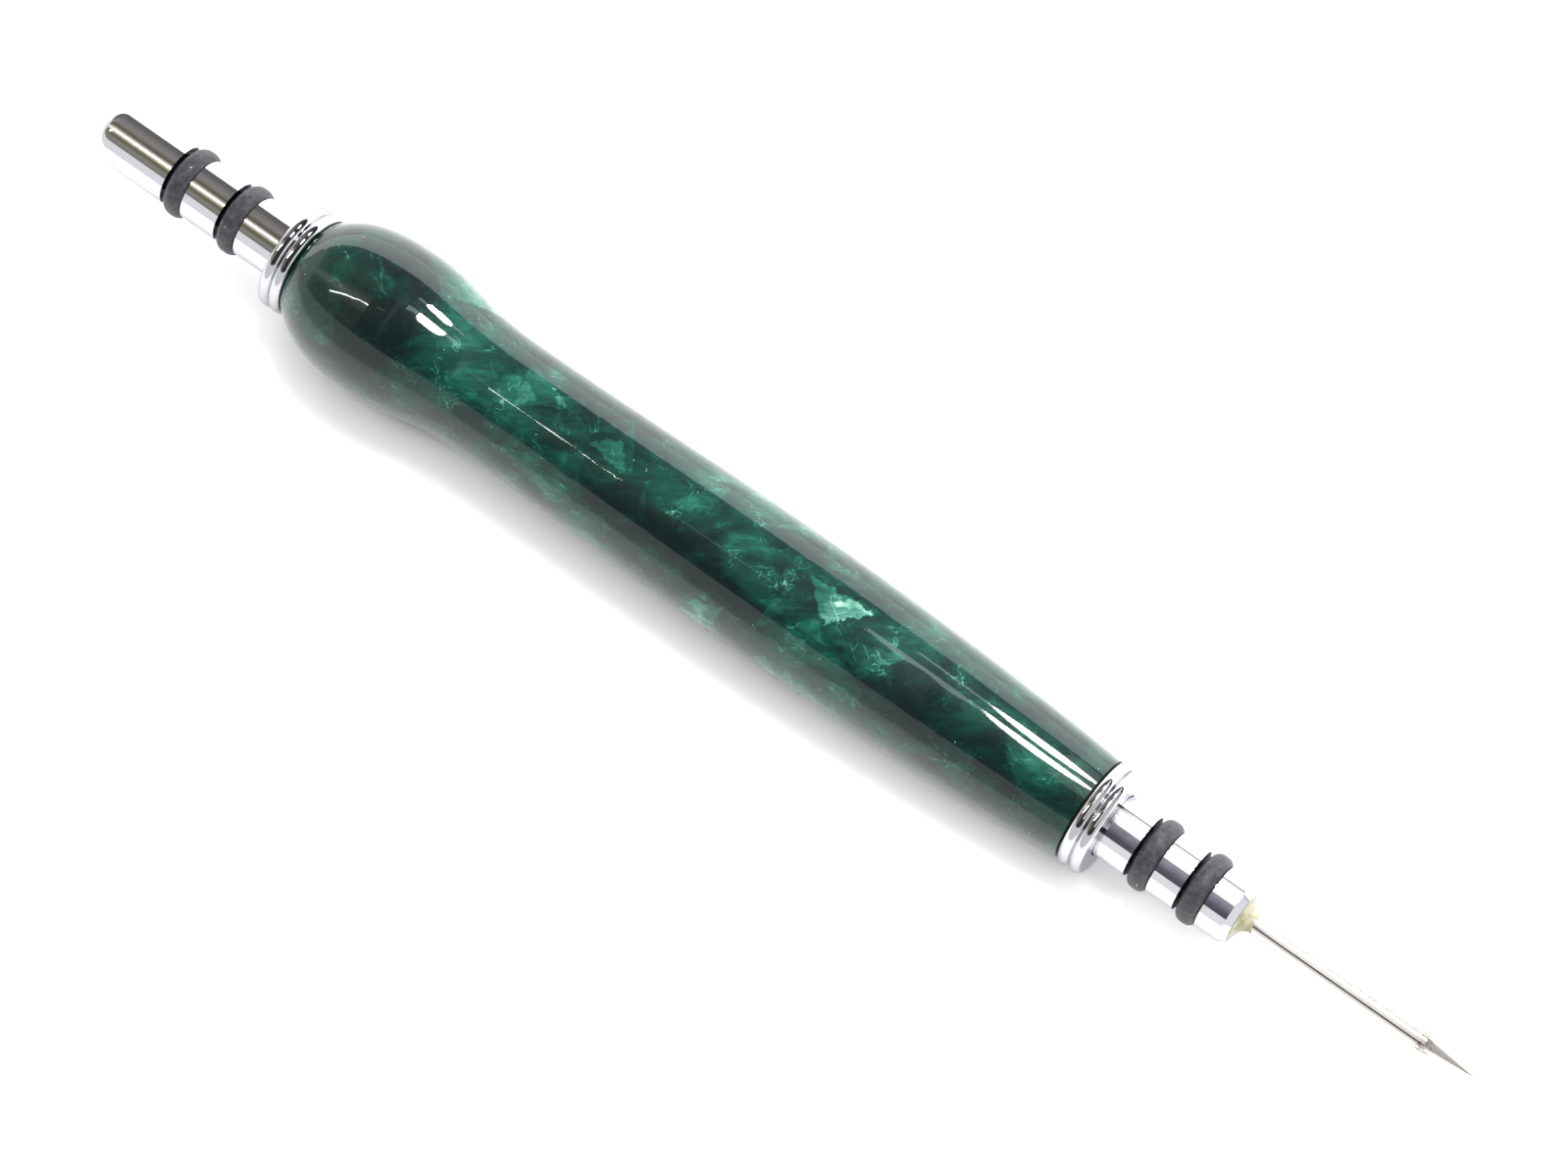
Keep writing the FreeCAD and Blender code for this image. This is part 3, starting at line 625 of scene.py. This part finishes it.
def make_world():
    """A white tent with an opening over the tool, where the dim room and the lamps are mirrored."""
    world = bpy.data.worlds.new("tent")
    world.use_nodes = True
    bpy.context.scene.world = world
    nodes = Nodes(world.node_tree)
    way = nodes.add("SeparateXYZ", {"Vector": nodes.add("TexCoord").outputs["Generated"]})
    x, y, z = way.outputs["X"], way.outputs["Y"], way.outputs["Z"]
    lean = nodes.math("ARCTAN2", y, z)
    far_wall = nodes.steps(lean, *map(math.radians, FAR_WALL_LEAN))
    near_wall = nodes.steps(nodes.math("MULTIPLY", lean, -1.0), *map(math.radians, NEAR_WALL_LEAN))
    rear_wall = nodes.steps(nodes.math("MULTIPLY", x, -1.0), *REAR_WALL_SHARE)
    front_wall = nodes.steps(x, *FRONT_WALL_SHARE)
    wall = nodes.math("MAXIMUM", nodes.math("MAXIMUM", rear_wall, front_wall), near_wall)
    rear = lean_ramp(nodes, lean, REAR_TENT)
    front = lean_ramp(nodes, lean, FRONT_TENT)
    before = nodes.mix(nodes.steps(x, *REAR_TENT_END), rear, ROOM)
    after = nodes.mix(nodes.steps(x, *FRONT_TENT_END), front, ROOM)
    opening = nodes.mix(nodes.steps(x, *FRONT_TENT_START), before, after)
    seen = nodes.mix(far_wall, nodes.mix(wall, opening, NEAR_WALL), FAR_WALL)
    background = nodes.add("Background", {"Color": seen, "Strength": 1.0})
    nodes.add("OutputWorld", {"Surface": background.outputs["Background"]})


def add_lamp(name, place, size, glow, roll=0.0, glossy=True, tint=(1.0, 1.0, 1.0), shape="RECTANGLE",
             target=(0.0, 0.0, 0.0)):
    """A lamp that faces its target; glow is its radiance and roll turns it in its plane, in degrees."""
    data = bpy.data.lights.new(name, "AREA")
    data.shape = shape
    data.size, data.size_y = size
    data.energy = glow * math.pi * size[0] * size[1]
    data.color = tint
    lamp = bpy.data.objects.new(name, data)
    back = (Vector(place) - Vector(target)).normalized()
    across = (ALONG - back * back.x).normalized()
    facing = Matrix((across, back.cross(across), back)).transposed().to_4x4()
    lamp.matrix_world = Matrix.Translation(place) @ facing @ Matrix.Rotation(math.radians(roll), 4, "Z")
    lamp.visible_glossy = glossy
    lamp.visible_camera = False
    bpy.context.scene.collection.objects.link(lamp)


def add_card(name, x_range, leans, glow, distance=0.06):
    """A white card close over a stretch of the tool, from one lean angle in degrees to the other."""
    middle = math.radians(0.5 * (leans[0] + leans[1]))
    half = math.radians(0.5 * (leans[1] - leans[0]))
    x = 0.5 * (x_range[0] + x_range[1])
    place = (x, distance * math.sin(middle), distance * math.cos(middle))
    size = (x_range[1] - x_range[0], 2.0 * distance * math.tan(half))
    add_lamp(name, place, size, glow, target=(x, 0.0, 0.0))


# The two oval lamps over the tool: name, place along X, lean in degrees, and size.
OVAL_LAMPS = [("far", 0.002, 33.0, (0.072, 0.120)), ("near", 0.010, 10.7, (0.066, 0.110))]
OVAL_HEIGHT = 0.606
OVAL_GLOW = 34.0
# The faint bluish glow beside each oval.
TAIL_PLACE = -0.055
TAIL_SIZE = (0.060, 0.040)
TAIL_GLOW = 4.5
TAIL_TINT = (0.72, 0.86, 1.0)
STRIP_ROLL = 35.0


def make_lights():
    """Soft light from above that isn't mirrored, and the lamps and cards whose gloss shows on the tool."""
    add_lamp("soft_top", (0.10, 0.30, 1.10), (2.2, 2.2), 2.15, glossy=False)
    for name, along, lean, size in OVAL_LAMPS:
        side = OVAL_HEIGHT * math.tan(math.radians(lean))
        add_lamp(f"lamp_{name}", (along, side, OVAL_HEIGHT), size, OVAL_GLOW, shape="ELLIPSE")
        add_lamp(f"lamp_{name}_tail", (TAIL_PLACE, side, OVAL_HEIGHT), TAIL_SIZE, TAIL_GLOW, tint=TAIL_TINT)
    add_lamp("strip_lamp", (-0.712, -0.468, 1.116), (0.68, 0.038), 32.0, roll=STRIP_ROLL)
    add_lamp("strip_lamp_tail", (-0.385, -0.290, 1.40), (0.11, 0.020), 2.2, roll=STRIP_ROLL)
    add_card("card_front", (0.0350, 0.0535), (-8.0, 50.0), 1.15)
    add_card("card_needle", (0.0535, 0.0785), (-40.0, 44.0), 1.05)


def make_camera():
    """The camera, looking down at the tool from its near side."""
    turn, rise = math.radians(CAMERA_AZIMUTH), math.radians(CAMERA_ELEVATION)
    back = Vector((math.sin(turn) * math.cos(rise), -math.cos(turn) * math.cos(rise), math.sin(rise)))
    data = bpy.data.cameras.new("camera")
    data.lens = CAMERA_LENS
    data.sensor_width = CAMERA_SENSOR
    data.clip_start = CAMERA_NEAR
    camera = bpy.data.objects.new("camera", data)
    camera.rotation_euler = back.to_track_quat("Z", "Y").to_euler()
    aside = camera.rotation_euler.to_matrix() @ Vector((*CAMERA_ASIDE, 0.0))
    camera.location = CAMERA_AIM + aside + back * CAMERA_DISTANCE
    bpy.context.scene.collection.objects.link(camera)
    bpy.context.scene.camera = camera


resin_material = resin()
dress_nodes(resin_material)
make_resin_fillet(resin_material)
make_floor()
make_world()
make_lights()
make_camera()
bpy.context.scene.view_settings.view_transform = "Standard"
